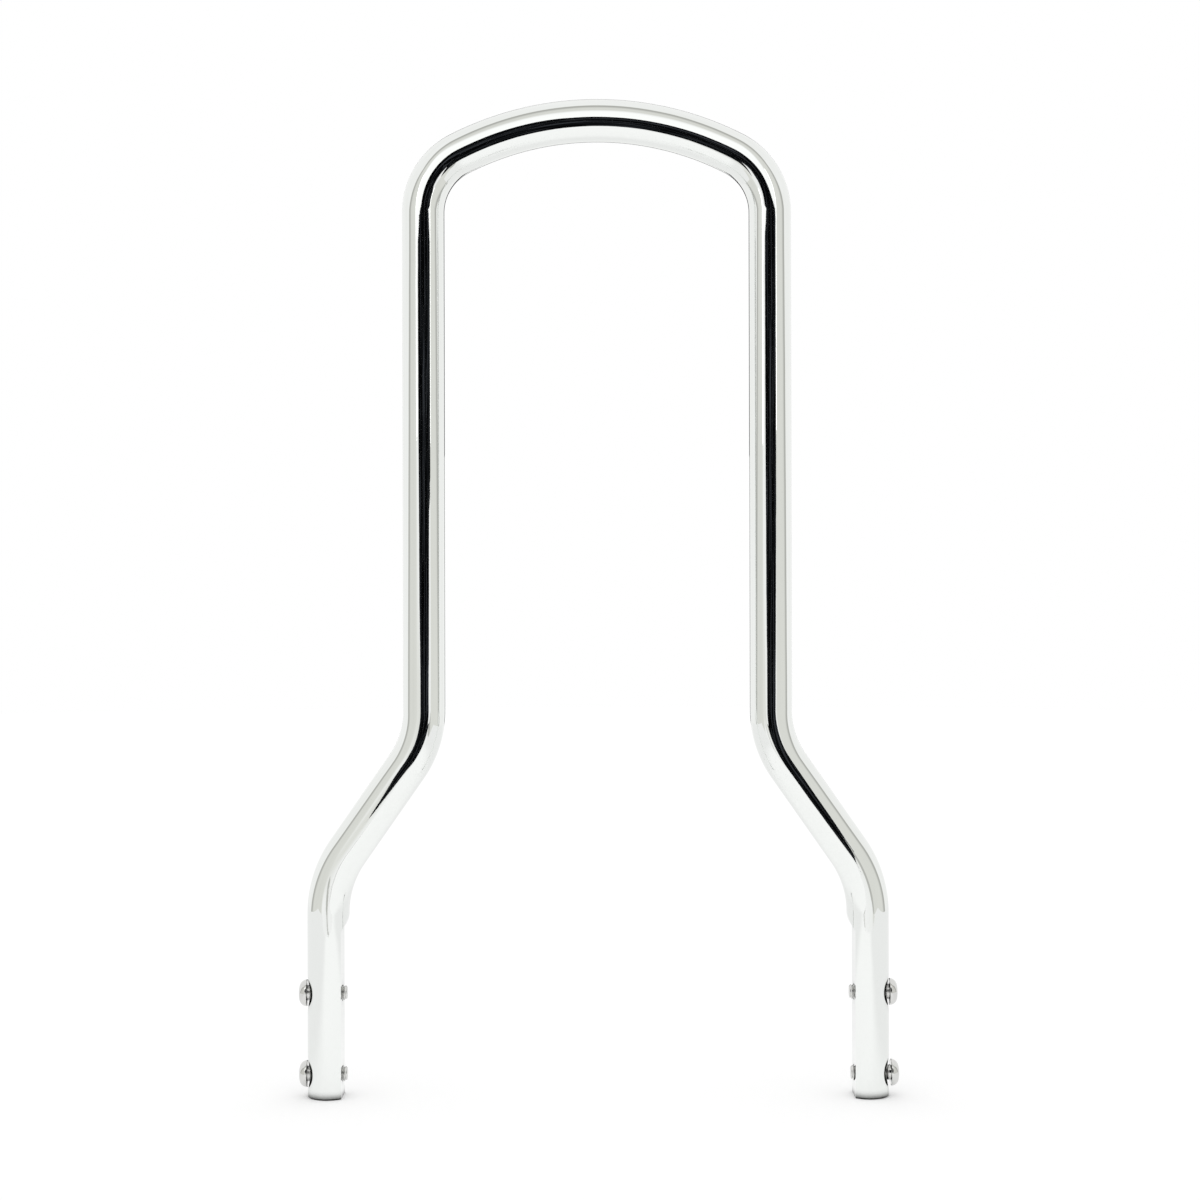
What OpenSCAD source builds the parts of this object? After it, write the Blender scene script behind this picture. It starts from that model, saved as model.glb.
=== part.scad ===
// Sissy bar for a motorcycle: a tall hoop that stands behind the passenger's seat as a backrest frame.
// One round bar is bent into an arch with two rounded corners and two parallel uprights. Below them the
// bar flares outwards and ends in two vertical legs. Each leg has a long flat on its inner side, which
// lies against the motorcycle's side bracket, and two button-head screws that pass through it from outside.
// All sizes are in millimetres. Z points up, X runs across the hoop, and the bar's plane is Y = 0.
// The origin is midway between the legs, at the level of their cut ends. Left is the side of negative X.

/* [Bar] */
// Diameter of the round bar
bar_d = 22.2; // [16:0.1:26]
// Rounding of the edge round each cut end
end_round = 0.8; // [0.2:0.1:2]

/* [Hoop] */
// Height from the cut ends to the top of the arch
height = 526.5; // [420:0.5:800]
// Distance between the centres of the two uprights
upright_spacing = 183.2; // [160:0.2:210]
// Bend radius of the arch, at the centre of the bar
arch_r = 160; // [120:1:400]
// Bend radius of the two upper corners, at the centre of the bar
corner_r = 35; // [25:0.5:60]

/* [Flare] */
// Distance between the centres of the two legs
leg_spacing = 285; // [250:0.5:340]
// Angle of the slanting stretch, from the vertical
flare_angle = 35; // [20:0.5:50]
// Bend radius where an upright turns outwards, at the centre of the bar
flare_top_r = 52; // [30:0.5:90]
// Bend radius where the slanting stretch turns down into a leg, at the centre of the bar
flare_bottom_r = 56.5; // [30:0.5:90]

/* [Legs] */
// Length of the straight leg below the flare
leg_h = 97; // [80:0.5:160]
// Depth of the flat on a leg's inner side, below the round of the bar
flat_depth = 3.7; // [1.5:0.1:5]
// Height of the plane part of the flat, from the cut end
flat_h = 88.2; // [72:0.1:100]
// Radius of the arc along which the metal swells from the flat back to the full round
run_out_r = 20; // [8:0.5:40]

/* [Screw holes] */
// Height of the lower hole above the cut end
lower_hole_h = 12; // [8:0.5:20]
// Distance between the two holes of a leg
hole_spacing = 42.7; // [24:0.1:50]
// Radial clearance between a hole and its screw
hole_clearance = 0.2; // [0.05:0.05:0.6]

/* [Screws] */
// Outer diameter of the thread
screw_d = 7.94; // [5:0.01:9]
// How far the tip of a fully seated screw stands out of the flat
tip_stand = 2.4; // [2:0.1:10]
// Width of the bevel round the tip
tip_bevel = 0.9; // [0.3:0.1:1.5]
// Diameter of the button head
head_d = 14; // [12:0.1:16]
// Height of the button head
head_h = 4.2; // [3.6:0.1:5]
// Height of the upright rim round the foot of the head
head_rim_h = 0.4; // [0.2:0.1:1.2]
// Width across the flats of the hexagon socket
socket_w = 4.76; // [3:0.01:5.5]
// Depth of the hexagon socket
socket_depth = 2.6; // [1.5:0.1:3]
// How far the lower screw on the right is turned back from its seat
right_lower_back_off = 0.75; // [0:0.05:1.5]

/* [Hidden] */
$fn = 96;

bar_r = bar_d / 2;
// A cut is carried this far past the face that it opens.
past = 1;
// Half the arch is drawn this many degrees too long and then cut off at the crown.
spare_turn = 2;

// The upper corner: its arc is tangent to the arch and to the upright, which fixes the arch's half angle.
arch_half_angle = asin((upright_spacing / 2 - corner_r) / (arch_r - corner_r));
corner_angle = 90 - arch_half_angle;
top_h = arch_r - (arch_r - corner_r) * cos(arch_half_angle);

// The flare: what the two bends don't cover sideways is left to the slanting stretch.
flare_out = (leg_spacing - upright_spacing) / 2;
bends_out = (flare_top_r + flare_bottom_r) * (1 - cos(flare_angle));
slant_len = (flare_out - bends_out) / sin(flare_angle);
flare_h = (flare_top_r + flare_bottom_r) * sin(flare_angle) + slant_len * cos(flare_angle);
upright_len = height - bar_r - top_h - flare_h - leg_h;

// The small bends are thinner by a hair, as stretched metal is, and each end laps into its neighbour
// by a small turn, so that each joint along the bar is a clean ring.
bend_thinning = 0.04;
bend_d = bar_d - bend_thinning;
lap_turn = 0.2;

// From above a leg's rounded end to a little past the crown of the arch. Each stretch is
// [length, 0, diameter] for a straight or [radius, turn, diameter] for a bend, where a positive turn
// leans towards the other leg.
HALF_HOOP = [
    [leg_h - end_round, 0, bar_d],
    [flare_bottom_r, flare_angle, bend_d],
    [slant_len, 0, bar_d],
    [flare_top_r, -flare_angle, bend_d],
    [upright_len, 0, bar_d],
    [corner_r, corner_angle, bend_d],
    [arch_r, arch_half_angle + spare_turn, bar_d],
];

// The arc of the run-out ends this far outside the bar, so that it isn't tangent to the round.
run_out_excess = 0.3;
run_out_depth = flat_depth + run_out_excess;
run_out_h = sqrt(pow(run_out_r, 2) - pow(run_out_r - run_out_depth, 2));

leg_x = leg_spacing / 2;
flat_to_axis = bar_r - flat_depth;
upper_hole_h = lower_hole_h + hole_spacing;
hole_d = screw_d + 2 * hole_clearance;
screw_len = bar_d - flat_depth + tip_stand;

// A bent stretch of bar that starts at the origin along Z and leans towards X by turn degrees.
module bend(radius, turn, diameter) {
    lap = diameter < bar_d ? lap_turn : 0;
    translate([radius, 0, 0])
        rotate([90, 0, 0])
            rotate_extrude(start = 180 + lap, angle = -turn - 2 * lap)
                translate([radius, 0])
                    circle(d = diameter);
}

// The bar along a list of stretches: each one is drawn, and the rest goes on from its far end.
module bar_along(stretches, i = 0) {
    if (i < len(stretches)) {
        size = stretches[i][0];
        turn = stretches[i][1];
        diameter = stretches[i][2];
        side = turn < 0 ? -1 : 1;
        if (turn == 0) {
            cylinder(h = size, d = diameter);
            translate([0, 0, size])
                bar_along(stretches, i + 1);
        } else {
            mirror([side < 0 ? 1 : 0, 0, 0])
                bend(size, abs(turn), diameter);
            translate([side * size * (1 - cos(turn)), 0, size * sin(abs(turn))])
                rotate([0, turn, 0])
                    bar_along(stretches, i + 1);
        }
    }
}

// The cut end of a bar, as high as the rounding of its edge.
module rounded_end() {
    rotate_extrude()
        intersection() {
            square([bar_r, end_round]);
            union() {
                square([bar_r - end_round, end_round]);
                translate([bar_r - end_round, end_round])
                    circle(r = end_round);
            }
        }
}

// Profile of the cut that leaves the flat: X outwards from the flat, Y along the leg. At its upper end
// the metal swells back to the full round along one arc, which starts with a crease at the flat.
module flat_profile() {
    difference() {
        translate([0, -past])
            square([run_out_depth + past, past + flat_h + run_out_h]);
        translate([run_out_depth - run_out_r, flat_h + run_out_h])
            circle(r = run_out_r);
    }
}

// What is machined out of a leg that stands at the origin with its inner side towards X.
module leg_cuts() {
    translate([flat_to_axis, bar_r + past, 0])
        rotate([90, 0, 0])
            linear_extrude(height = bar_d + 2 * past)
                flat_profile();
    for (hole_h = [lower_hole_h, upper_hole_h])
        translate([-bar_r - past, 0, hole_h])
            rotate([0, 90, 0])
                cylinder(h = bar_d + 2 * past, d = hole_d);
}

// One side of the hoop, from the left leg's cut end to the crown, where it is cut off at X = 0.
module left_half() {
    difference() {
        translate([-leg_x, 0, 0])
            difference() {
                union() {
                    rounded_end();
                    translate([0, 0, end_round])
                        bar_along(HALF_HOOP);
                }
                leg_cuts();
            }
        translate([0, -bar_d, height - 2 * bar_d])
            cube([arch_r, 2 * bar_d, 3 * bar_d]);
    }
}

// The bent bar, in one piece.
module hoop() {
    color("gainsboro") {
        left_half();
        mirror([1, 0, 0])
            left_half();
    }
}

// Half section of the button head, above its seat: from the top of an upright rim, one round shoulder
// runs into the flat middle of the top.
module head_section() {
    rim_r = head_d / 2;
    shoulder_r = head_h - head_rim_h;
    intersection() {
        square([rim_r, head_h]);
        union() {
            square([rim_r, head_rim_h]);
            square([rim_r - shoulder_r, head_h]);
            translate([rim_r - shoulder_r, head_rim_h])
                circle(r = shoulder_r);
        }
    }
}

// A button-head screw with its seat at the origin, its head above and its shank below.
module screw() {
    shank_r = screw_d / 2;
    color("silver")
        difference() {
            union() {
                rotate_extrude()
                    head_section();
                rotate_extrude()
                    polygon([
                        [0, -screw_len],
                        [shank_r - tip_bevel, -screw_len],
                        [shank_r, -screw_len + tip_bevel],
                        [shank_r, 0],
                        [0, 0],
                    ]);
            }
            translate([0, 0, head_h - socket_depth])
                cylinder(h = socket_depth + past, d = socket_w / cos(30), $fn = 6);
        }
}

// A screw in the left leg, with its head outside.
module left_screw(hole_h, back_off = 0) {
    translate([-leg_x - bar_r - back_off, 0, hole_h])
        rotate([0, -90, 0])
            screw();
}

module left_upper_screw() {
    left_screw(upper_hole_h);
}

module left_lower_screw() {
    left_screw(lower_hole_h);
}

module right_upper_screw() {
    mirror([1, 0, 0])
        left_screw(upper_hole_h);
}

module right_lower_screw() {
    mirror([1, 0, 0])
        left_screw(lower_hole_h, right_lower_back_off);
}

hoop();
left_upper_screw();
left_lower_screw();
right_upper_screw();
right_lower_screw();
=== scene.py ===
"""Looks of the sissy bar: a chromed round-bar hoop and its four button-head screws, in a white light tent.

Everything is in metres, in the frame of the solid model: Z up, X across the hoop, the bar's plane at Y = 0,
the origin midway between the two legs at the level of their cut ends.
"""

import math

import bmesh
import bpy
import numpy as np
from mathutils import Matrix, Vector


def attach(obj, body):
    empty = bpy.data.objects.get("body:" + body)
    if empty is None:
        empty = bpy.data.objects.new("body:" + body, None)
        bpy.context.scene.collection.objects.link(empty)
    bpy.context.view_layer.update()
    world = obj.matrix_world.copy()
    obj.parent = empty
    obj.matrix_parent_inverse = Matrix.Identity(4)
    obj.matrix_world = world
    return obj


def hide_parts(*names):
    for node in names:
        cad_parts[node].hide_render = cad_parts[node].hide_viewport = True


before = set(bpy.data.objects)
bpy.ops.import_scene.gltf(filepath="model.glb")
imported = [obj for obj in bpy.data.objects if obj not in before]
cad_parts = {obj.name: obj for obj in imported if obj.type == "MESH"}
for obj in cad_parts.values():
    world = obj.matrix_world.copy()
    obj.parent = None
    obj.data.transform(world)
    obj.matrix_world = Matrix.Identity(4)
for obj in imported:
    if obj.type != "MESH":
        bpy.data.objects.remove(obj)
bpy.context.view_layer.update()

MM = 0.001

# The bar, as the solid model has it
BAR_R = 11.1 * MM
HEIGHT = 526.5 * MM
UPRIGHT_SPACING = 183.2 * MM
ARCH_R = 160 * MM
CORNER_R = 35 * MM
LEG_SPACING = 285 * MM
FLARE = math.radians(35)
FLARE_TOP_R = 52 * MM
FLARE_BOTTOM_R = 56.5 * MM
LEG_H = 97 * MM
END_ROUND = 0.8 * MM
FLAT_TO_AXIS = 7.4 * MM
FLAT_H = 88.2 * MM
RUN_OUT_R = 20 * MM
RUN_OUT_DEPTH = 4.0 * MM
RUN_OUT_H = math.sqrt(RUN_OUT_R ** 2 - (RUN_OUT_R - RUN_OUT_DEPTH) ** 2)
HOLE_R = 4.17 * MM
HOLE_HEIGHTS = (12 * MM, 54.7 * MM)
# Buffing before the plating has dished the bar a little round the outer mouth of each cross hole
DISH_R = 10.4 * MM
DISH_DEPTH = 1.3 * MM

# The screws: a 5/16 inch thread of 18 turns to the inch under a button head
THREAD_R = 3.97 * MM
THREAD_DEPTH = 0.80 * MM
PITCH = 25.4 / 18 * MM
SCREW_LEN = 20.9 * MM
TIP_BEVEL = 0.9 * MM
HEAD_R = 7.0 * MM
HEAD_H = 4.2 * MM
HEAD_RIM_H = 0.4 * MM
SEAT_EDGE_R = 0.22 * MM
SOCKET_W = 4.76 * MM
SOCKET_DEPTH = 2.6 * MM
SOCKET_CHAMFER = 0.2 * MM
# Where the thread has run out under the head, and how many turns it takes to fade
THREAD_END = -1.0 * MM
FADE_TURNS = 1.2
# Where a flank starts and ends, as shares of half a pitch from the middle of the crest
FLANK_START = 0.14
FLANK_END = 0.82
# The angle at which the sockets stand, in radians, and how far the lower right screw is turned back
SOCKET_TURN = 0.3
BACK_OFF = 0.75 * MM

# How finely the meshes are drawn. The legs have the shortest steps, for the dishes round their holes.
BAR_SIDES = 128
HOLE_SIDES = 96
SCREW_SIDES = 96
LEG_STEP = 0.75 * MM
BEND_STEP = 0.95 * MM
STRAIGHT_STEP = 5 * MM
END_STEPS = 9
RUN_OUT_STEPS = 49
THREAD_STEPS = 14
SHOULDER_STEPS = 40
# On the screws an edge that turns by more than this stays crisp
CRISP = math.radians(28)
# How far a cutter reaches past what it cuts
PAST = 2 * MM

# How fine the patterns are, of the finishes and of the floor's painted pool of light, in waves to the metre
PLATE_WAVES = 45.0
PLATE_PEEL = 900.0
PLATE_HAZE = 120.0
TURNING_MARKS = 1500.0
SCREW_HAZE = 400.0
POOL_PATCHES = 60.0


def linear(code):
    """An sRGB colour written as six hex digits, as linear light with full alpha."""
    parts = [int(code[i:i + 2], 16) / 255 for i in (0, 2, 4)]
    return tuple(c / 12.92 if c <= 0.04045 else ((c + 0.055) / 1.055) ** 2.4 for c in parts) + (1.0,)


def add(tree, kind, values=None, **settings):
    """Adds a node with its settings. values maps an input's name or number to a constant, to an output, or
    to a node, whose first output then feeds it."""
    node = tree.nodes.new(kind)
    for name, value in settings.items():
        setattr(node, name, value)
    for key, value in (values or {}).items():
        if isinstance(value, bpy.types.Node):
            value = value.outputs[0]
        if isinstance(value, bpy.types.NodeSocket):
            tree.links.new(value, node.inputs[key])
        else:
            node.inputs[key].default_value = value
    return node


def new_material(name):
    """An empty node material and its tree."""
    material = bpy.data.materials.new(name)
    material.use_nodes = True
    material.node_tree.nodes.clear()
    return material, material.node_tree


# The bar's centre line, from the left cut end up to the crown of the arch: [size, turn], where a straight
# has its length and no turn, and a bend has its radius and the angle by which it leans to the right.
ARCH_HALF_ANGLE = math.asin((UPRIGHT_SPACING / 2 - CORNER_R) / (ARCH_R - CORNER_R))
ARCH_RISE = ARCH_R - (ARCH_R - CORNER_R) * math.cos(ARCH_HALF_ANGLE)
FLARE_OUT = (LEG_SPACING - UPRIGHT_SPACING) / 2
BEND_RADII = FLARE_TOP_R + FLARE_BOTTOM_R
SLANT_LEN = (FLARE_OUT - BEND_RADII * (1 - math.cos(FLARE))) / math.sin(FLARE)
FLARE_H = BEND_RADII * math.sin(FLARE) + SLANT_LEN * math.cos(FLARE)
UPRIGHT_LEN = HEIGHT - BAR_R - ARCH_RISE - FLARE_H - LEG_H
HALF_HOOP = [
    (LEG_H, 0.0),
    (FLARE_BOTTOM_R, FLARE),
    (SLANT_LEN, 0.0),
    (FLARE_TOP_R, -FLARE),
    (UPRIGHT_LEN, 0.0),
    (CORNER_R, math.pi / 2 - ARCH_HALF_ANGLE),
    (ARCH_R, ARCH_HALF_ANGLE),
]


def stretches():
    """Start point, heading, size, turn and length of each stretch, in the XZ plane. A heading of 0 is up."""
    point, heading, rows = np.array([-LEG_SPACING / 2, 0.0]), 0.0, []
    for size, turn in HALF_HOOP:
        rows.append((point, heading, size, turn, size * abs(turn) if turn else size))
        if turn:
            side = math.copysign(size, turn)
            hub = point + side * np.array([math.cos(heading), -math.sin(heading)])
            heading += turn
            point = hub - side * np.array([math.cos(heading), -math.sin(heading)])
        else:
            point = point + size * np.array([math.sin(heading), math.cos(heading)])
    return rows


def along(row, t):
    """Points and headings at the shares t of one stretch: point plus t times the length along a straight,
    or round the bend's hub by t times its turn."""
    point, heading, size, turn, _ = row
    if not turn:
        ahead = np.array([math.sin(heading), math.cos(heading)])
        return point + np.outer(t * size, ahead), np.full(len(t), heading)
    side = math.copysign(size, turn)
    hub = point + side * np.array([math.cos(heading), -math.sin(heading)])
    angle = heading + t * turn
    return hub - side * np.stack([np.cos(angle), -np.sin(angle)], 1), angle


def centre_line():
    """Points and headings along the whole bar, from the left cut end over the arch to the right one."""
    points, headings = [], []
    for number, row in enumerate(stretches()):
        turn, length = row[3], row[4]
        step = BEND_STEP if turn else STRAIGHT_STEP
        if number == 0:
            step = LEG_STEP
        count = max(4, int(math.ceil(length / step)))
        place, angle = along(row, np.arange(count) / count)
        points.append(place)
        headings.append(angle)
    points, headings = np.concatenate(points), np.concatenate(headings)
    crown = np.array([[0.0, HEIGHT - BAR_R]])
    points = np.concatenate([points, crown, points[::-1] * (-1, 1)])
    headings = np.concatenate([headings, [math.pi / 2], math.pi - headings[::-1]])
    return points, headings


def grid_faces(rows, sides):
    """Quads of a grid of rings, closed round each ring: (i, j), (i, j + 1), (i + 1, j + 1), (i + 1, j)."""
    i, j = np.meshgrid(np.arange(rows - 1), np.arange(sides), indexing="ij")
    k = (j + 1) % sides
    ring, next_ring = i * sides, (i + 1) * sides
    return np.stack([ring + j, ring + k, next_ring + k, next_ring + j], -1).reshape(-1, 4)


def solid_of_rings(name, rings):
    """A closed mesh from an array of rings (rows, sides, 3). A fan round its middle closes each end."""
    rows, sides = rings.shape[:2]
    first, last = rings[0].mean(0), rings[-1].mean(0)
    points = np.concatenate([rings.reshape(-1, 3), [first, last]])
    j = np.arange(sides)
    k = (j + 1) % sides
    low, high = rows * sides, rows * sides + 1
    top = (rows - 1) * sides
    fans = np.concatenate([
        np.stack([k, j, np.full(sides, low)], 1),
        np.stack([top + j, top + k, np.full(sides, high)], 1),
    ])
    mesh = bpy.data.meshes.new(name)
    faces = grid_faces(rows, sides).tolist() + fans.tolist()
    mesh.from_pydata(points.tolist(), [], faces)
    mesh.update()
    mesh.validate()
    return mesh


def as_object(mesh):
    """An object in the scene that shows the mesh, at the origin."""
    thing = bpy.data.objects.new(mesh.name, mesh)
    bpy.context.scene.collection.objects.link(thing)
    return thing


def bar_rings():
    """The bar as rings: centre + BAR_R (cos u sideways - sin u backwards). At each cut end the rings close in
    along a quarter circle of END_ROUND, and the dishes are then taken off the legs' outer sides."""
    points, headings = centre_line()
    u = np.arange(BAR_SIDES) / BAR_SIDES * 2 * math.pi
    above_end = points[:, 1] > END_ROUND + 0.1 * MM
    points, headings = points[above_end], headings[above_end]
    radius = np.full(len(points), BAR_R)
    # the rounded ends
    q = np.linspace(0, math.pi / 2, END_STEPS)
    end_radius = BAR_R - END_ROUND * (1 - np.sin(q))
    end_height = END_ROUND * (1 - np.cos(q))
    left = np.stack([np.full(len(q), -LEG_SPACING / 2), end_height], 1)
    right = left[::-1] * (-1, 1)
    points = np.concatenate([left, points, right])
    headings = np.concatenate([np.zeros(len(q)), headings, np.full(len(q), math.pi)])
    radius = np.concatenate([end_radius, radius, end_radius[::-1]])
    side = np.stack([np.cos(headings), -np.sin(headings)], 1)
    rings = np.zeros((len(points), BAR_SIDES, 3))
    across = radius[:, None] * np.cos(u)[None]
    rings[:, :, 0] = points[:, :1] + side[:, :1] * across
    rings[:, :, 2] = points[:, 1:] + side[:, 1:] * across
    rings[:, :, 1] = -radius[:, None] * np.sin(u)[None]
    rings[:, :, 0] -= np.sign(rings[:, :, 0]) * dish(rings.reshape(-1, 3))[0].reshape(rings.shape[:2])
    return rings


def dish(points):
    """Depth of the dish at each point, and its slopes along Y and Z. On a leg's outer side q is the squared
    distance from a cross hole's axis over DISH_R squared. The depth is DISH_DEPTH times (1 - q) squared, and
    its slope is -4 DISH_DEPTH (1 - q) times the arm over DISH_R squared."""
    depth = np.zeros(len(points))
    slope_y = np.zeros(len(points))
    slope_z = np.zeros(len(points))
    outside = (np.abs(points[:, 0]) > LEG_SPACING / 2) & (points[:, 2] < LEG_H)
    for height in HOLE_HEIGHTS:
        arm_y, arm_z = points[:, 1], points[:, 2] - height
        left = np.clip(1 - (arm_y ** 2 + arm_z ** 2) / DISH_R ** 2, 0, 1) * outside
        depth += DISH_DEPTH * left ** 2
        slope_y -= 4 * DISH_DEPTH * left * arm_y / DISH_R ** 2
        slope_z -= 4 * DISH_DEPTH * left * arm_z / DISH_R ** 2
    return depth, slope_y, slope_z


def block(name, outline, y0, y1):
    """A prism whose XZ outline is carried from y0 to y1. The outline turns anticlockwise seen from -Y."""
    n = len(outline)
    points = [(x, y0, z) for x, z in outline] + [(x, y1, z) for x, z in outline]
    faces = [list(range(n)), list(range(2 * n - 1, n - 1, -1))]
    faces += [[i, i + n, (i + 1) % n + n, (i + 1) % n] for i in range(n)]
    mesh = bpy.data.meshes.new(name)
    mesh.from_pydata(points, [], faces)
    return outward(mesh)


def rod(name, radius, x0, x1, z):
    """A cylinder along X at height z."""
    u = np.arange(HOLE_SIDES) / HOLE_SIDES * 2 * math.pi
    rings = np.zeros((2, HOLE_SIDES, 3))
    rings[:, :, 0] = np.array([[x0], [x1]])
    rings[:, :, 1] = radius * np.cos(u)
    rings[:, :, 2] = z + radius * np.sin(u)
    return outward(solid_of_rings(name, rings))


def outward(mesh):
    """Turns every face outwards."""
    work = bmesh.new()
    work.from_mesh(mesh)
    bmesh.ops.recalc_face_normals(work, faces=work.faces)
    work.to_mesh(mesh)
    work.free()
    return mesh


def cut(thing, cutters):
    """Takes the cutters' solids out of the thing, one after the other."""
    for mesh in cutters:
        cutter = as_object(mesh)
        modifier = thing.modifiers.new("cut", "BOOLEAN")
        modifier.operation = "DIFFERENCE"
        modifier.solver = "EXACT"
        modifier.object = cutter
        graph = bpy.context.evaluated_depsgraph_get()
        result = bpy.data.meshes.new_from_object(thing.evaluated_get(graph))
        thing.modifiers.clear()
        thing.data = result
        bpy.data.objects.remove(cutter)


def leg_cutters(side):
    """What is taken out of one leg: the flat with its run-out, and the two cross holes. side is -1 on the
    left. The run-out is an arc of RUN_OUT_R. It starts in a crease at the flat and swells by RUN_OUT_DEPTH,
    until it runs along the bar."""
    axis = side * LEG_SPACING / 2
    top = FLAT_H + RUN_OUT_H
    hub = FLAT_TO_AXIS + RUN_OUT_DEPTH - RUN_OUT_R
    start = math.asin(RUN_OUT_H / RUN_OUT_R)
    turns = np.linspace(start, 0, RUN_OUT_STEPS)
    arc = [(hub + RUN_OUT_R * math.cos(a), top - RUN_OUT_R * math.sin(a)) for a in turns]
    far = FLAT_TO_AXIS + RUN_OUT_DEPTH + PAST
    outline = [(FLAT_TO_AXIS, -PAST)] + arc + [(far, top), (far, -PAST)]
    outline = [(axis - side * x, z) for x, z in outline]
    cutters = [block("flat", outline, -BAR_R - PAST, BAR_R + PAST)]
    for height in HOLE_HEIGHTS:
        cutters.append(rod("hole", HOLE_R, axis - BAR_R - PAST, axis + BAR_R + PAST, height))
    return cutters


def unit(v):
    """Each row of v at length 1."""
    return v / np.maximum(np.linalg.norm(v, axis=-1, keepdims=True), 1e-12)


def round_normals(points):
    """Normals of the bar's round surface: from the nearest point of the centre line to the point. The right
    half is folded onto the left one for the search."""
    folded = np.stack([-np.abs(points[:, 0]), points[:, 2]], 1)
    best = np.full(len(points), np.inf)
    foot = np.zeros_like(folded)
    for point, heading, size, turn, _ in stretches():
        if turn:
            side = math.copysign(size, turn)
            hub = point + side * np.array([math.cos(heading), -math.sin(heading)])
            arm = folded - hub
            angle = np.arctan2(arm[:, 1] * np.sign(side), -arm[:, 0] * np.sign(side))
            share = (angle - heading) / turn
            near = hub + size * unit(arm)
        else:
            ahead = np.array([math.sin(heading), math.cos(heading)])
            share = (folded - point) @ ahead / size
            near = point + np.outer(share * size, ahead)
        gap = np.linalg.norm(folded - near, axis=1)
        good = (share > -1e-4) & (share < 1 + 1e-4) & (gap < best)
        best[good] = gap[good]
        foot[good] = near[good]
    out = np.zeros_like(points)
    out[:, 0] = (folded[:, 0] - foot[:, 0]) * np.where(points[:, 0] > 0, -1, 1)
    out[:, 2] = folded[:, 1] - foot[:, 1]
    out[:, 1] = points[:, 1]
    return unit(out)


def mesh_corners(mesh):
    """The place of every corner of the mesh's faces, and the normal of the face that it belongs to."""
    vertex = np.zeros(len(mesh.loops), np.int32)
    mesh.loops.foreach_get("vertex_index", vertex)
    points = np.zeros(len(mesh.vertices) * 3, np.float32)
    mesh.vertices.foreach_get("co", points)
    total = np.zeros(len(mesh.polygons), np.int32)
    mesh.polygons.foreach_get("loop_total", total)
    facing = np.zeros(len(mesh.polygons) * 3, np.float32)
    mesh.polygons.foreach_get("normal", facing)
    face = np.repeat(np.arange(len(total)), total)
    return points.reshape(-1, 3).astype(float)[vertex], facing.reshape(-1, 3).astype(float)[face]


def hoop_normals(mesh):
    """A true normal for every corner of the hoop's mesh. It starts as the normal of the round bar or of the
    dish. Each cut surface in turn then takes the corners that lie on it and whose face looks its way."""
    at, facing = mesh_corners(mesh)
    x, y, z = at.T
    zero = np.zeros(len(at))
    inward = -np.sign(x)
    # how far each corner lies inside its leg's axis
    reach = LEG_SPACING / 2 - np.abs(x)
    low = z < LEG_H
    close = 0.02 * MM

    result = round_normals(at)
    depth, slope_y, slope_z = dish(at)
    in_dish = depth > 0
    half_width = np.sqrt(np.maximum(BAR_R ** 2 - y ** 2, MM ** 2))
    bowl = unit(np.stack([-inward, y / half_width + slope_y, slope_z], 1))
    result[in_dish] = bowl[in_dish]

    # the rounded edge of the cut end, round the foot of the bar's axis
    from_axis = np.hypot(reach, y)
    shoulder = BAR_R - END_ROUND
    radial = unit(np.stack([reach * inward, y, zero], 1)) * (from_axis - shoulder)[:, None]
    edge = unit(np.stack([radial[:, 0], radial[:, 1], z - END_ROUND], 1))
    edge_gap = np.abs(np.hypot(from_axis - shoulder, z - END_ROUND) - END_ROUND)
    surfaces = [(edge, low & (z < END_ROUND + close) & (edge_gap < close), 0.9)]
    # the walls of the cross holes
    for height in HOLE_HEIGHTS:
        wall = unit(np.stack([zero, -y, height - z], 1))
        wall_gap = np.abs(np.hypot(y, z - height) - HOLE_R)
        surfaces.append((wall, low & (wall_gap < close), 0.97))
    # the run-out, the flat and the cut end
    hub_x, hub_z = FLAT_TO_AXIS + RUN_OUT_DEPTH - RUN_OUT_R, FLAT_H + RUN_OUT_H
    run_out = unit(np.stack([(reach - hub_x) * inward, zero, z - hub_z], 1))
    run_out_gap = np.abs(np.hypot(reach - hub_x, z - hub_z) - RUN_OUT_R)
    surfaces.append((run_out, low & (run_out_gap < close) & (z > FLAT_H - close), 0.995))
    flat = np.stack([inward, zero, zero], 1)
    surfaces.append((flat, low & (np.abs(reach - FLAT_TO_AXIS) < close), 0.9999))
    end = np.stack([zero, zero, zero - 1], 1)
    surfaces.append((end, np.abs(z) < close, 0.9999))

    for normals, lies_on_it, least in surfaces:
        taken = lies_on_it & ((normals * facing).sum(1) > least)
        result[taken] = normals[taken]
    return result


def make_hoop():
    """The hoop: the bar's rings, less what is cut out of the two legs, with true normals on its surfaces."""
    thing = as_object(solid_of_rings("bar_hoop", bar_rings()))
    outward(thing.data)
    cut(thing, leg_cutters(-1) + leg_cutters(1))
    mesh = thing.data
    mesh.name = "bar_hoop"
    mesh.shade_smooth()
    mesh.normals_split_custom_set(hoop_normals(mesh).tolist())
    return thing


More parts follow.
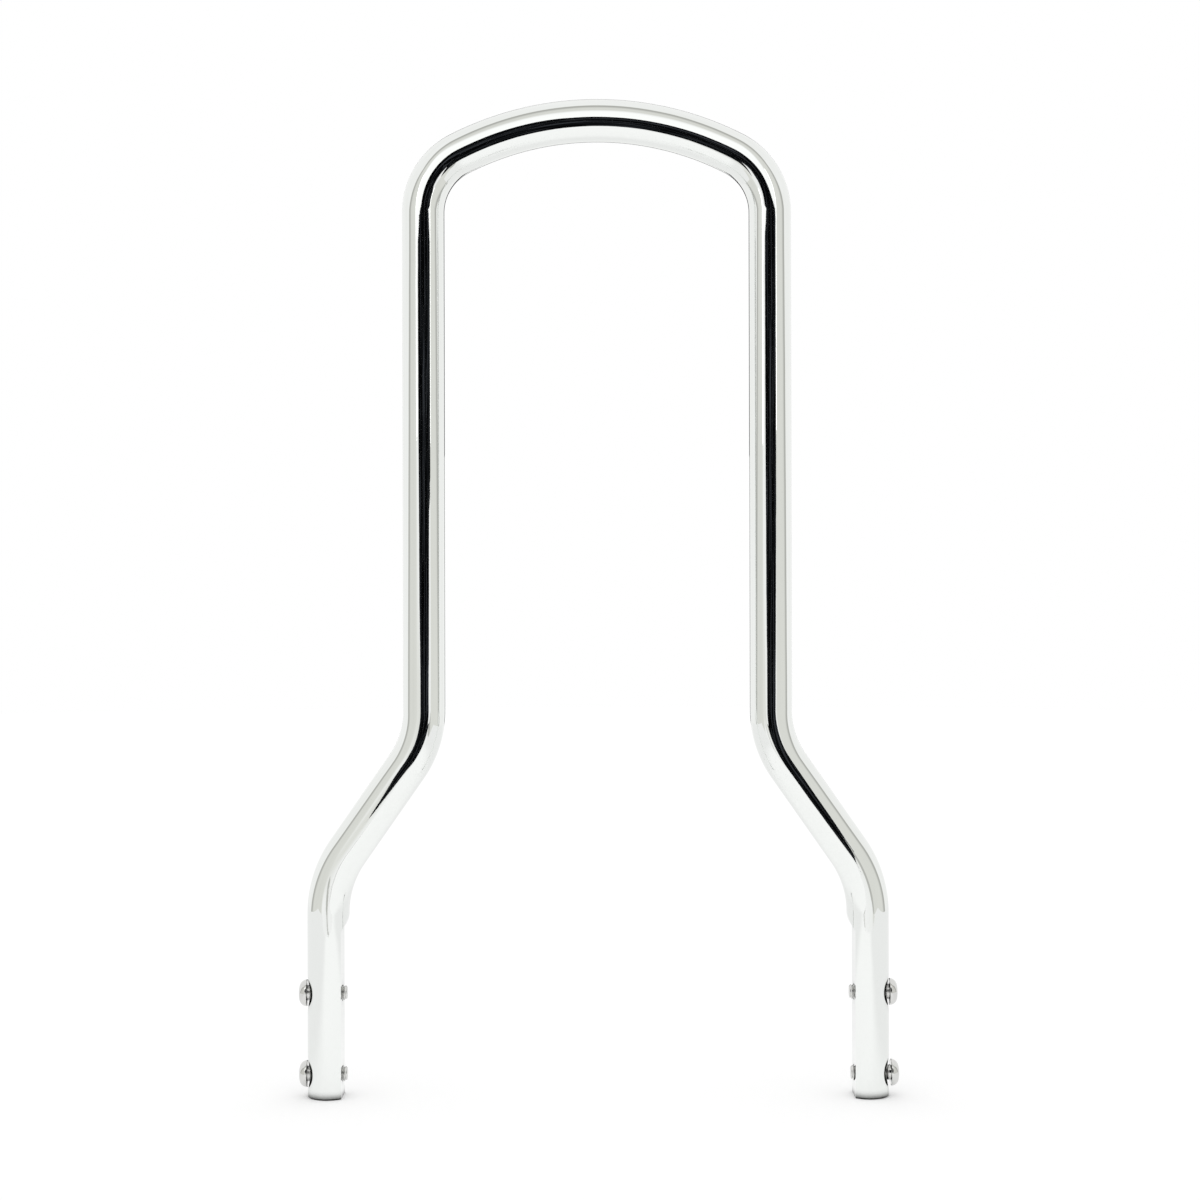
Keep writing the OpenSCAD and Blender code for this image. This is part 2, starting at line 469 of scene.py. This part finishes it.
def screw_rings():
    """A screw as rings of (height, radius, u), where height runs along its axis from the seat and u is the
    angle round it. The radius varies with u only in the thread and the hexagon.

    thread: radius = THREAD_R - THREAD_DEPTH * dip, where dip goes from 0 on the crest's land along a straight
    flank to 1 in the root, and fades to 0 under the head.
    hexagon: radius = half the width across flats over the cosine of the angle from the nearest side's middle.
    """
    u = np.arange(SCREW_SIDES) / SCREW_SIDES * 2 * math.pi
    ones = np.ones_like(u)
    rings = []

    def ring(height, radius):
        rings.append(np.stack([height * ones, radius * ones, u], 1))

    # the tip: a plane end, then the bevel and the thread
    tip = -SCREW_LEN
    ring(tip, 0.6 * MM)
    ring(tip, THREAD_R - TIP_BEVEL - 0.1 * MM)
    for height in np.arange(tip, THREAD_END - 0.4 * MM, PITCH / THREAD_STEPS):
        turn = (height / PITCH - u / (2 * math.pi)) % 1.0
        away = np.abs(turn - 0.5) * 2
        dip = np.clip((away - FLANK_START) / (FLANK_END - FLANK_START), 0, 1)
        fade = min(1.0, (THREAD_END - height) / (FADE_TURNS * PITCH))
        bevel = THREAD_R - TIP_BEVEL + (height - tip)
        ring(height, np.minimum(THREAD_R - THREAD_DEPTH * dip * fade, bevel))
    # a short plain shank with a fillet under the head
    ring(THREAD_END, THREAD_R)
    ring(-0.35 * MM, THREAD_R)
    ring(-0.1 * MM, THREAD_R + 0.08 * MM)
    ring(0.0, THREAD_R + 0.3 * MM)
    # the seat, with a small round at its edge
    ring(0.0, HEAD_R - SEAT_EDGE_R * 1.02)
    for a in np.linspace(0, math.pi / 2, 5):
        ring(SEAT_EDGE_R * (1 - math.cos(a)), HEAD_R - SEAT_EDGE_R * (1 - math.sin(a)))
    # one round shoulder from the rim up to the flat middle of the top
    shoulder = HEAD_H - HEAD_RIM_H
    for a in np.linspace(0, math.pi / 2, SHOULDER_STEPS):
        ring(HEAD_RIM_H + shoulder * math.sin(a), HEAD_R - shoulder * (1 - math.cos(a)))
    # the hexagon socket: a small chamfer, the walls and the drilled floor
    sector = math.pi / 3
    hexagon = SOCKET_W / 2 / np.cos((u + sector / 2) % sector - sector / 2)
    ring(HEAD_H, hexagon + SOCKET_CHAMFER)
    ring(HEAD_H - SOCKET_CHAMFER * 0.8, hexagon)
    ring(HEAD_H - SOCKET_DEPTH + 0.1 * MM, hexagon)
    ring(HEAD_H - SOCKET_DEPTH, hexagon - 0.12 * MM)
    ring(HEAD_H - SOCKET_DEPTH - 0.35 * MM, hexagon * 0.3)
    return np.stack(rings)


def make_screw(name, side, height, back_off=0.0):
    """A screw in its leg, with its head outside: its axis lies along side times X, at the hole's height."""
    rings = screw_rings()
    from_seat, radius, u = rings[..., 0], rings[..., 1], rings[..., 2]
    place = np.zeros(rings.shape)
    place[..., 0] = side * (LEG_SPACING / 2 + BAR_R + back_off + from_seat)
    place[..., 1] = radius * np.cos(u + SOCKET_TURN)
    place[..., 2] = height + radius * np.sin(u + SOCKET_TURN)
    mesh = outward(solid_of_rings(name, place))
    mesh.shade_smooth()
    mesh.set_sharp_from_angle(angle=CRISP)
    return as_object(mesh)


def chrome_plate():
    """Chrome plate on polished steel bar: a mirror with a faint cool tint. The steel was ground and buffed
    along the bar before plating. That leaves slow waves of some 20 mm, an orange peel of about 1 mm that only
    just ripples the reflections, and a very fine haze in patches of 8 mm. The colour is painted near black in
    the narrow gaps under the screw heads and round the tips, as painted shade."""
    material, tree = new_material("polished_chrome_plate")
    place = add(tree, "ShaderNodeTexCoord").outputs["Object"]
    waves = add(tree, "ShaderNodeTexNoise", {"Vector": place, "Scale": PLATE_WAVES, "Detail": 1.0})
    peel = add(tree, "ShaderNodeTexNoise", {"Vector": place, "Scale": PLATE_PEEL, "Detail": 2.0})
    slow = add(tree, "ShaderNodeBump", {"Height": waves, "Distance": 0.4 * MM, "Strength": 0.25})
    fine = add(tree, "ShaderNodeBump", {
        "Height": peel, "Distance": 0.006 * MM, "Strength": 0.5, "Normal": slow})
    haze = add(tree, "ShaderNodeTexNoise", {
        "Vector": place, "Scale": PLATE_HAZE, "Detail": 4.0, "Roughness": 0.6})
    gloss = add(tree, "ShaderNodeMapRange", {
        "Value": haze, "From Min": 0.35, "From Max": 0.75, "To Min": 0.02, "To Max": 0.05})
    # the share of open sky within 5 mm: little of it means a narrow gap, where the colour is painted dark as
    # painted shade
    openness = add(tree, "ShaderNodeAmbientOcclusion", {"Distance": 5 * MM}, samples=8).outputs["AO"]
    clear_of_painted_shade = add(tree, "ShaderNodeMapRange", {"Value": openness, "From Min": 0.55, "From Max": 0.93})
    # painted shade: the plate's colour goes to near black 14130F where the gap is narrow
    plate = add(tree, "ShaderNodeMix", {
        0: clear_of_painted_shade, 6: linear("14130F"), 7: linear("EEF0EE")}, data_type="RGBA")
    shader = add(tree, "ShaderNodeBsdfPrincipled", {
        "Base Color": plate.outputs[2], "Metallic": 1.0, "Roughness": gloss, "Normal": fine})
    add(tree, "ShaderNodeOutputMaterial", {"Surface": shader})
    return material


def plated_screw_steel():
    """Bright chrome plate on turned and rolled steel: a soft mirror with a grain of turning marks. The marks
    are drawn 0.7 mm apart, coarser than real ones, so that they show. The rolled thread takes the plate
    unpolished, so from its tip to the head it spreads the light where the head is a mirror."""
    material, tree = new_material("bright_plated_screw_steel")
    place = add(tree, "ShaderNodeTexCoord").outputs["Object"]
    grain = add(tree, "ShaderNodeTexNoise", {"Vector": place, "Scale": TURNING_MARKS, "Detail": 3.0})
    bump = add(tree, "ShaderNodeBump", {"Height": grain, "Distance": 0.01 * MM, "Strength": 0.6})
    haze = add(tree, "ShaderNodeTexNoise", {"Vector": place, "Scale": SCREW_HAZE, "Detail": 3.0})
    gloss = add(tree, "ShaderNodeMapRange", {
        "Value": haze, "From Min": 0.3, "From Max": 0.7, "To Min": 0.04, "To Max": 0.08})
    # the distance from the nearer screw's axis: both holes lie as far from the height midway between them
    spot = add(tree, "ShaderNodeSeparateXYZ", {"Vector": place})
    midway = sum(HOLE_HEIGHTS) / 2
    rise = add(tree, "ShaderNodeMath", {0: spot.outputs["Z"], 1: midway}, operation="SUBTRACT")
    rise = add(tree, "ShaderNodeMath", {0: rise}, operation="ABSOLUTE")
    rise = add(tree, "ShaderNodeMath", {0: rise, 1: HOLE_HEIGHTS[1] - midway}, operation="SUBTRACT")
    across = add(tree, "ShaderNodeCombineXYZ", {"Y": spot.outputs["Y"], "Z": rise})
    radius = add(tree, "ShaderNodeVectorMath", {0: across}, operation="LENGTH").outputs["Value"]
    thread = add(tree, "ShaderNodeMapRange", {
        "Value": radius, "From Min": 4.1 * MM, "From Max": 4.4 * MM, "To Min": 0.26, "To Max": 0.0})
    # the thread is what lies on the leg's side of the seat
    seat = LEG_SPACING / 2 + BAR_R - 0.1 * MM
    aside = add(tree, "ShaderNodeMath", {0: spot.outputs["X"]}, operation="ABSOLUTE")
    under = add(tree, "ShaderNodeMath", {0: aside, 1: seat}, operation="LESS_THAN")
    rough = add(tree, "ShaderNodeMath", {0: thread, 1: under, 2: gloss}, operation="MULTIPLY_ADD")
    shader = add(tree, "ShaderNodeBsdfPrincipled", {
        "Base Color": linear("DADAD8"), "Metallic": 1.0, "Roughness": rough, "Normal": bump})
    add(tree, "ShaderNodeOutputMaterial", {"Surface": shader})
    return material


hoop = make_hoop()
hoop.data.materials.clear()
hoop.data.materials.append(chrome_plate())
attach(hoop, "root")
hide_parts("hoop")

screw_steel = plated_screw_steel()
for side, side_word in ((-1, "left"), (1, "right")):
    for height, level in zip(HOLE_HEIGHTS, ("lower", "upper")):
        turned_back = BACK_OFF if (side_word, level) == ("right", "lower") else 0.0
        screw = make_screw(f"{side_word}_{level}_button_screw", side, height, turned_back)
        screw.data.materials.append(screw_steel)
        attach(screw, "root")
        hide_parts(f"{side_word}_{level}_screw")


# The studio: a white floor, and a white tent of lit cloth that only the metal sees. Its front, towards the
# camera, has an opening onto a dark room. A frame stands across its middle, and the cloth behind the frame is
# brighter. Outlines of upright parts are (x, z).
FLOOR_R = 4.0
# What the floor adds of its own for the camera, so that it just reaches white where nothing shades it
FLOOR_GLOW = 0.16
TENT_LOW = (-0.93, -0.565, 0.0)
TENT_HIGH = (0.87, 0.9, 1.2)
# The front wall: left, right, above and below the opening
FRONT_PANELS = [
    [(-0.93, 0), (-0.42, 0), (-0.42, 1.2), (-0.93, 1.2)],
    [(0.385, 0), (0.87, 0), (0.87, 1.2), (0.385, 1.2)],
    [
        (-0.42, 0.555), (-0.16, 0.575), (-0.12, 0.62), (-0.05, 0.64), (-0.01, 0.605), (0.15, 0.60),
        (0.385, 0.575), (0.385, 1.2), (-0.42, 1.2),
    ],
    [
        (-0.42, 0), (0.385, 0), (0.385, 0.19), (0.365, 0.168), (0.25, 0.085), (0.18, 0.035), (0.13, 0.022),
        (0.05, 0.018), (-0.05, 0.05), (-0.15, 0.085), (-0.215, 0.112), (-0.262, 0.17), (-0.315, 0.222),
        (-0.38, 0.262), (-0.42, 0.33),
    ],
]
# The room beyond the opening: its end wall is light, and a dark sheet hangs in front of most of it
ROOM_END = -1.31
ROOM_HALF_WIDTH = 2.4
ROOM_H = 1.8
ROOM_FLOOR_Z = 0.003
DARK_END = [
    (-0.72, 1.7), (-0.72, 0.62), (-0.68, 0.44), (-0.62, 0.335), (-0.59, 0.262), (-0.50, 0.19), (-0.49, 0.156),
    (-0.46, 0.0), (0.58, 0.0), (0.62, 0.156), (0.66, 0.193), (0.70, 0.262), (0.74, 0.335), (0.76, 0.37),
    (1.2, 0.45), (1.2, 1.7),
]
# Grey folds of cloth at the foot of the opening, brighter strips beside it, and a dark card at the back
FOLDS = [
    [
        (-0.36, 0.097), (-0.35, 0.075), (-0.22, 0.016), (-0.10, 0.0), (-0.04, 0.0), (-0.12, 0.008),
        (-0.22, 0.036),
    ],
    [(0.335, 0.168), (0.260, 0.092), (0.310, 0.045), (0.380, 0.012), (0.450, 0.004), (0.420, 0.060)],
]
LAMPS = [
    [(-0.495, 0.40), (-0.435, 0.40), (-0.435, 0.8), (-0.495, 0.8)],
    [(0.40, 0.40), (0.425, 0.40), (0.425, 0.8), (0.40, 0.8)],
]
BEHIND_CARD = [
    (-0.30, 1.0), (-0.30, 0.1), (-0.14, 0.1), (-0.14, 0.40),
    (0.14, 0.40), (0.14, 0.1), (0.30, 0.1), (0.30, 1.0),
]
# Sheets that hang before a wall stand this far off it
OFF_WALL = 0.004


def floor_paint():
    """Matt white board. It sends a little light of its own to the camera, so that it shows as pure white
    where nothing shades it and the object's shadow stays. The metal sees a painted pool of light on the board
    in front of the hoop, some 0.5 m wide and 1 m long, with faint patches of 17 mm in that painted light."""
    material, tree = new_material("matt_white_board")
    path = add(tree, "ShaderNodeLightPath")
    place = add(tree, "ShaderNodeTexCoord").outputs["Object"]
    # painted pool of light, seen only by glossy rays: brighter in front of the hoop, with faint patches in it
    spread = add(tree, "ShaderNodeMapping", {
        "Vector": place, "Location": (0.0, 0.7, 0.0), "Scale": (3.7, 2.1, 1.0)})
    reach = add(tree, "ShaderNodeVectorMath", {0: spread}, operation="LENGTH").outputs["Value"]
    pool = add(tree, "ShaderNodeMapRange", {
        "Value": reach, "From Min": 1.3, "From Max": 0.7, "To Min": 0.07, "To Max": 0.20},
        interpolation_type="SMOOTHSTEP")
    pool_patches = add(tree, "ShaderNodeTexNoise", {"Vector": place, "Scale": POOL_PATCHES, "Detail": 3.0})
    pool_patches = add(tree, "ShaderNodeMapRange", {"Value": pool_patches, "To Min": -0.03, "To Max": 0.03})
    pool = add(tree, "ShaderNodeMath", {0: pool, 1: pool_patches}, operation="ADD")
    lift = add(tree, "ShaderNodeMath", {0: path.outputs["Is Glossy Ray"], 1: pool}, operation="MULTIPLY")
    lift = add(tree, "ShaderNodeMath", {
        0: path.outputs["Is Camera Ray"], 1: FLOOR_GLOW, 2: lift}, operation="MULTIPLY_ADD")
    board = add(tree, "ShaderNodeBsdfDiffuse", {"Color": linear("F0F0F0")})
    glow = add(tree, "ShaderNodeEmission", {"Color": (1, 1, 1, 1), "Strength": lift})
    both = add(tree, "ShaderNodeAddShader", {0: board, 1: glow})
    add(tree, "ShaderNodeOutputMaterial", {"Surface": both})
    return material


def lit_cloth():
    """Thin white cloth with the lamps behind it: grey before the tent's middle frame, darkest right at the
    frame, bright behind it, and brightest round the opening in front, above all high up."""
    material, tree = new_material("lit_white_cloth")
    place = add(tree, "ShaderNodeTexCoord").outputs["Object"]
    axes = add(tree, "ShaderNodeSeparateXYZ", {0: place})
    x, y, z = axes.outputs
    # how far behind the frame a point lies: the frame bows with x squared and leans with height
    bow = add(tree, "ShaderNodeMath", {0: x, 1: x}, operation="MULTIPLY")
    bow = add(tree, "ShaderNodeMath", {0: bow, 1: 0.33, 2: 0.27}, operation="MULTIPLY_ADD")
    lean = add(tree, "ShaderNodeMath", {0: bow, 1: z, 2: -0.15}, operation="MULTIPLY_ADD")
    past_frame = add(tree, "ShaderNodeMath", {0: y, 1: lean}, operation="ADD")
    toward = add(tree, "ShaderNodeMapRange", {
        "Value": past_frame, "From Min": -0.26, "From Max": -0.025}, interpolation_type="SMOOTHSTEP")
    before = add(tree, "ShaderNodeMapRange", {"Value": toward, "To Min": 0.78, "To Max": 0.45})
    behind = add(tree, "ShaderNodeMapRange", {
        "Value": past_frame, "From Min": -0.025, "From Max": 0.06}, interpolation_type="SMOOTHSTEP")
    tone = add(tree, "ShaderNodeMix", {"Factor": behind, "A": before, "B": 0.98})
    # the border of the opening: near its middle line in x, close to the front wall, and below the roof
    aside = add(tree, "ShaderNodeMath", {0: x, 1: 0.0575}, operation="ADD")
    aside = add(tree, "ShaderNodeMath", {0: aside}, operation="ABSOLUTE")
    near = add(tree, "ShaderNodeMapRange", {
        "Value": aside, "From Min": 0.49, "From Max": 0.37}, interpolation_type="SMOOTHSTEP")
    front = add(tree, "ShaderNodeMapRange", {
        "Value": y, "From Min": -0.43, "From Max": -0.56}, interpolation_type="SMOOTHSTEP")
    low = add(tree, "ShaderNodeMapRange", {
        "Value": z, "From Min": 1.2, "From Max": 0.9}, interpolation_type="SMOOTHSTEP")
    border = add(tree, "ShaderNodeMath", {0: near, 1: front}, operation="MULTIPLY")
    border = add(tree, "ShaderNodeMath", {0: border, 1: low}, operation="MULTIPLY")
    # its level: white at the foot, a little greyer up to the hoop's flare, and brightest above it
    foot = add(tree, "ShaderNodeMapRange", {
        "Value": z, "From Min": 0.03, "From Max": 0.13, "To Min": 1.0, "To Max": 0.84})
    rim = add(tree, "ShaderNodeMapRange", {
        "Value": z, "From Min": 0.2, "From Max": 0.5, "To Min": 0.84, "To Max": 1.15})
    rim = add(tree, "ShaderNodeMath", {0: foot, 1: rim}, operation="MAXIMUM")
    tone = add(tree, "ShaderNodeMix", {"Factor": border, "A": tone, "B": rim})
    # soft folds a third of a metre wide, and a faint warm tint where the cloth is dim
    folds = add(tree, "ShaderNodeTexNoise", {"Vector": place, "Scale": 3.0, "Detail": 2.0})
    folds = add(tree, "ShaderNodeMapRange", {"Value": folds, "To Min": 0.94, "To Max": 1.06})
    tone = add(tree, "ShaderNodeMath", {0: tone, 1: folds}, operation="MULTIPLY")
    clear = add(tree, "ShaderNodeMapRange", {"Value": tone, "From Min": 0.8, "From Max": 1.0})
    tint = add(tree, "ShaderNodeMix", {
        0: clear, 6: linear("FFFFFA"), 7: (1, 1, 1, 1)}, data_type="RGBA")
    glow = add(tree, "ShaderNodeEmission", {"Color": tint.outputs[2], "Strength": tone})
    add(tree, "ShaderNodeOutputMaterial", {"Surface": glow})
    return material


def plain_glow(name, code, strength):
    """Cloth or board that is lit evenly."""
    material, tree = new_material(name)
    glow = add(tree, "ShaderNodeEmission", {"Color": linear(code), "Strength": strength})
    add(tree, "ShaderNodeOutputMaterial", {"Surface": glow})
    return material


def dim_room():
    """The dark room outside the tent's opening, with a few dim shapes some 110 mm wide in it."""
    material, tree = new_material("dim_room")
    place = add(tree, "ShaderNodeTexCoord").outputs["Object"]
    shapes = add(tree, "ShaderNodeTexNoise", {"Vector": place, "Scale": 9.0, "Detail": 3.0})
    level = add(tree, "ShaderNodeMapRange", {
        "Value": shapes, "From Min": 0.5, "From Max": 0.8, "To Min": 0.002, "To Max": 0.09})
    glow = add(tree, "ShaderNodeEmission", {"Color": linear("D8E0F0"), "Strength": level})
    add(tree, "ShaderNodeOutputMaterial", {"Surface": glow})
    return material


def sheets(name, outlines, material):
    """Flat sheets in one object. Each outline is a list of points."""
    points, faces = [], []
    for outline in outlines:
        faces.append(list(range(len(points), len(points) + len(outline))))
        points += outline
    mesh = bpy.data.meshes.new(name)
    mesh.from_pydata(points, [], faces)
    mesh.update()
    mesh.materials.append(material)
    return as_object(mesh)


def upright(outline, y):
    """An outline in the XZ plane, set up at y."""
    return [(x, y, z) for x, z in outline]


def make_tent():
    """The tent's roof and walls as one object, with a hole in the front wall, and beyond the hole a dark room
    whose end wall is light at both sides. Only reflections see any of it."""
    (left, front, low), (right, back, high) = TENT_LOW, TENT_HIGH
    walls = [
        [(right, front, low), (right, back, low), (right, back, high), (right, front, high)],
        [(right, back, low), (left, back, low), (left, back, high), (right, back, high)],
        [(left, back, low), (left, front, low), (left, front, high), (left, back, high)],
        [(left, front, high), (right, front, high), (right, back, high), (left, back, high)],
    ]
    walls += [upright(panel, front) for panel in FRONT_PANELS]
    wide, near = ROOM_HALF_WIDTH, front - OFF_WALL / 2
    end_wall = [(-wide, 0), (wide, 0), (wide, ROOM_H), (-wide, ROOM_H)]
    ground = [(-wide, near), (wide, near), (wide, ROOM_END), (-wide, ROOM_END)]
    dark = dim_room()
    light_wall = plain_glow("light_wall", "FFFFFF", 0.98)
    grey_cloth = plain_glow("folded_cloth", "C0C0BC", 1.0)
    lamp_cloth = plain_glow("lamp_cloth", "FFFFFF", 2.4)
    parts = [
        sheets("tent", walls, lit_cloth()),
        sheets("room_end", [upright(end_wall, ROOM_END - OFF_WALL)], light_wall),
        sheets("room_end_dark", [upright(DARK_END, ROOM_END)], dark),
        sheets("room_floor", [[(x, y, ROOM_FLOOR_Z) for x, y in ground]], dark),
        sheets("card_behind", [upright(BEHIND_CARD, back - OFF_WALL)], dark),
        sheets("tent_folds", [upright(fold, front + OFF_WALL / 2) for fold in FOLDS], grey_cloth),
        sheets("tent_lamps", [upright(lamp, front + OFF_WALL / 2) for lamp in LAMPS], lamp_cloth),
    ]
    for part in parts:
        for ray in ("camera", "diffuse", "shadow", "transmission", "volume_scatter"):
            setattr(part, "visible_" + ray, False)
    return parts


def make_stage():
    """The round white floor and the tent, which are no part of the object."""
    bpy.ops.mesh.primitive_circle_add(vertices=96, radius=FLOOR_R, fill_type="NGON")
    floor = bpy.context.object
    floor.name = "floor"
    floor.data.materials.append(floor_paint())
    make_tent()


def make_light():
    """Even white light from all sides, at a strength of 1."""
    world = bpy.data.worlds.new("white_room")
    world.use_nodes = True
    background = world.node_tree.nodes["Background"]
    background.inputs["Color"].default_value = (1, 1, 1, 1)
    background.inputs["Strength"].default_value = 1.0
    bpy.context.scene.world = world


# The camera stands level, square to the hoop. At the hoop's plane one pixel of the frame covers MM_PER_PIXEL.
CAMERA_DISTANCE = 1.11
CAMERA_HEIGHT = 0.262
CAMERA_ASIDE = 0.0014
CAMERA_ROLL = math.radians(0.13)
MM_PER_PIXEL = 0.5288
IMAGE_WIDTH = 1200


def make_camera():
    """The camera before the hoop, with a focal length that gives the scale above."""
    data = bpy.data.cameras.new("camera")
    data.sensor_width = 36.0
    data.lens = data.sensor_width * CAMERA_DISTANCE / (MM_PER_PIXEL * MM * IMAGE_WIDTH)
    camera = bpy.data.objects.new("camera", data)
    bpy.context.scene.collection.objects.link(camera)
    camera.location = Vector((CAMERA_ASIDE, -CAMERA_DISTANCE, CAMERA_HEIGHT))
    camera.rotation_euler = (math.pi / 2, CAMERA_ROLL, 0.0)
    bpy.context.scene.camera = camera


make_stage()
make_light()
make_camera()
bpy.context.scene.view_settings.view_transform = "Standard"
